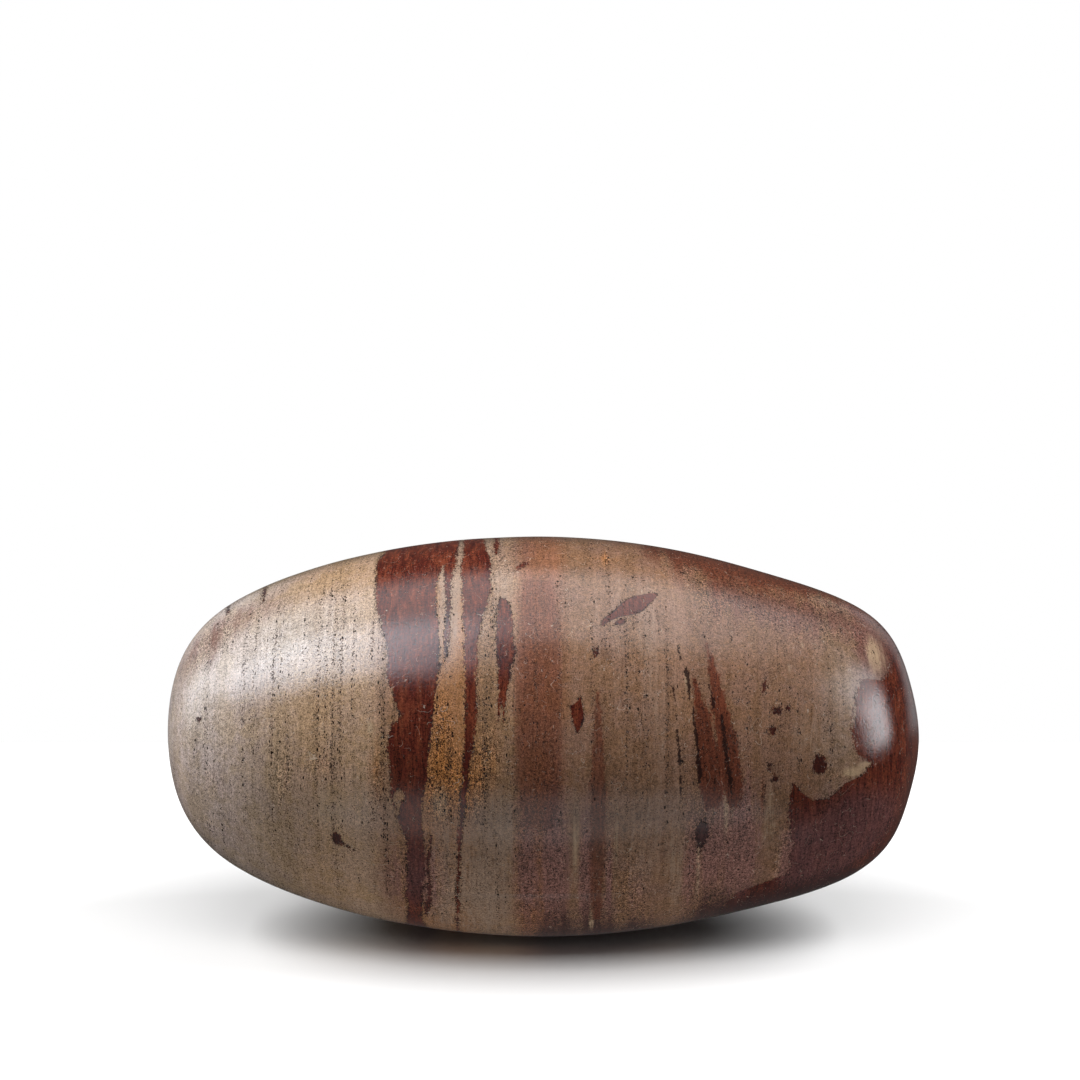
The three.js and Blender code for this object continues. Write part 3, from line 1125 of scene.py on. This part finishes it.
# The studio, in metres, degrees and watts. An untilted softbox faces straight down, a tilt
# swings its face towards the back, and a turn then swings that about Z: -90 to the right,
# 90 to the left. The boxes named floor light only the floor, and all others only the stone.
studio = {
    "floor": {
        "front": -0.27,
        "back": 0.3,
        "side": 0.32,
        "colour": (0.86, 0.86, 0.86, 1.0),
        "roughness": 0.9,
        "specular": 0.1,
    },
    "softboxes": {  # centre, size, tilt, turn, power
        "floorFront": ((0.0, -0.71, 1.17), (1.25, 0.55), 33, 0, 7.9),
        "floorLeft": ((-0.98, 0.06, 0.86), (0.9, 0.9), 50, -90, 18.0),
        "floorRight": ((0.98, 0.06, 0.86), (0.9, 0.9), 50, 90, 19.5),
        "floorWrap": ((0.0, -1.2, 0.9), (3.2, 1.2), 55, 0, 1.4),
        "keyFar": ((-1.7, -0.49, 1.235), (1.3, 0.76), 12, 0, 19.0),
        "keyBox": ((-0.925, -0.49, 1.235), (0.25, 0.76), 12, 0, 4.7),
        "keyMiddle": ((-0.66, -0.49, 1.235), (0.28, 0.76), 12, 0, 3.7),
        "keyEdge": ((-0.36, -0.49, 1.235), (0.32, 0.76), 12, 0, 2.1),
        "scrim": ((-0.69, 0.095, 1.35), (2.62, 1.25), 0, 0, 20.5),
        "scrimEnd": ((0.76, 0.095, 1.35), (0.28, 1.25), 0, 0, 1.6),
        "leftBox": ((-1.15, 0.315, 0.335), (0.47, 0.43), 90, -90, 1.6),
        "leftTall": ((-1.17, 0.13, 0.69), (0.58, 0.54), 90, -90, 2.7),
        "rightBox": ((1.0, -0.21, 0.28), (0.44, 0.42), 90, 90, 4.1),
        "rightTall": ((1.02, -0.26, 0.73), (0.6, 0.56), 90, 90, 3.6),
        "backLeft": ((-0.85, 1.2, 0.2), (0.8, 1.0), -90, 0, 0.5),
        "backRight": ((0.85, 1.2, 0.25), (0.6, 0.9), -90, 0, 0.55),
        "nearGlow": ((0.0, -0.1975, 0.002), (0.3, 0.145), 180, 0, 0.083),
        "shadeGlow": ((0.0, -0.094, 0.002), (0.28, 0.062), 180, 0, 0.0182),
        "underGlow": ((-0.01, -0.15, 0.002), (0.38, 0.24), 180, 0, 0.15),
    },
    "onlyReflected": ("nearGlow", "shadeGlow", "backLeft", "backRight"),
    "neverReflected": ("underGlow",),
    "stoneTint": (0.975, 1.0, 1.04),  # the colour of the lights on the stone
    "keyTint": (0.92, 1.0, 1.12),
    "roomLight": 0.05,
}


def addFloor():
    # A matt sheet. The three glows stand in for the light that it would send to the stone.
    values = studio["floor"]
    side, front, back = values["side"], values["front"], values["back"]
    corners = [(-side, front, 0), (side, front, 0), (side, back, 0), (-side, back, 0)]
    mesh = bpy.data.meshes.new("floor")
    mesh.from_pydata(corners, [], [(0, 1, 2, 3)])
    floor = bpy.data.objects.new("floor", mesh)
    bpy.context.scene.collection.objects.link(floor)
    material = bpy.data.materials.new("palePaper")
    material.use_nodes = True
    shader = material.node_tree.nodes["Principled BSDF"]
    shader.inputs["Base Color"].default_value = values["colour"]
    shader.inputs["Roughness"].default_value = values["roughness"]
    shader.inputs["Specular IOR Level"].default_value = values["specular"]
    mesh.materials.append(material)
    floor.visible_diffuse = False
    floor.visible_glossy = False
    return floor


def addSoftbox(name, receiver, centre, size, tilt, turn, power):
    # A rectangular light that only the receiver sees.
    lamp = bpy.data.lights.new(name, "AREA")
    lamp.shape = "RECTANGLE"
    lamp.size, lamp.size_y = size
    lamp.energy = power
    if receiver is stone:
        lamp.color = studio["keyTint" if name.startswith("key") else "stoneTint"]
    box = bpy.data.objects.new(name, lamp)
    box.location = centre
    box.rotation_euler = (math.radians(tilt), 0, math.radians(turn))
    bpy.context.scene.collection.objects.link(box)
    lit = bpy.data.collections.new(name + "Lights")
    lit.objects.link(receiver)
    box.light_linking.receiver_collection = lit
    box.visible_camera = False
    box.visible_diffuse = name not in studio["onlyReflected"]
    box.visible_glossy = name not in studio["neverReflected"]


def lightRoom():
    # White where the camera looks straight at it, dim for everything else.
    world = bpy.data.worlds.new("room")
    world.use_nodes = True
    tree = world.node_tree
    tree.nodes.clear()
    seen = addNode(tree, "LightPath", result="Is Camera Ray")
    strength = seen * (1 - studio["roomLight"]) + studio["roomLight"]
    background = addNode(tree, "Background", None, {"Color": (1, 1, 1, 1), "Strength": strength})
    output = tree.nodes.new("ShaderNodeOutputWorld")
    tree.links.new(background.output, output.inputs["Surface"])
    bpy.context.scene.world = world


floor = addFloor()
for name, values in studio["softboxes"].items():
    addSoftbox(name, floor if name.startswith("floor") else stone, *values)
lightRoom()
bpy.context.scene.view_settings.view_transform = "Standard"
print("studio lit")


# The camera, at 14 degrees above the stone's middle, with the stone low in a square frame.
cameraView = {
    "lens": 90.0,
    "sensor": 36,
    "elevation": 14.0,
    "distance": 1.0861,
    "target": (0.0, 0.0, 0.0784),
    "targetPixel": (543.8, 736.8),  # where the target lies in the frame
    "framePixels": 1080,
}


def addCamera():
    # Stands back from the target along its elevation, moved sideways and tilted up so that
    # the target falls on its pixel.
    view = cameraView
    pixelsPerUnit = view["lens"] / view["sensor"] * view["framePixels"]
    right = (view["targetPixel"][0] - view["framePixels"] / 2) / pixelsPerUnit
    down = (view["targetPixel"][1] - view["framePixels"] / 2) / pixelsPerUnit
    rise = math.radians(view["elevation"])
    back = Vector((0, -math.cos(rise), math.sin(rise))) * view["distance"]
    camera = bpy.data.objects.new("camera", bpy.data.cameras.new("camera"))
    camera.data.lens = view["lens"]
    camera.data.sensor_width = view["sensor"]
    camera.location = Vector(view["target"]) + back - Vector((right * view["distance"], 0, 0))
    camera.rotation_euler = (math.pi / 2 - rise + math.atan(down), 0, 0)
    bpy.context.scene.collection.objects.link(camera)
    bpy.context.scene.camera = camera


addCamera()
print("camera placed")
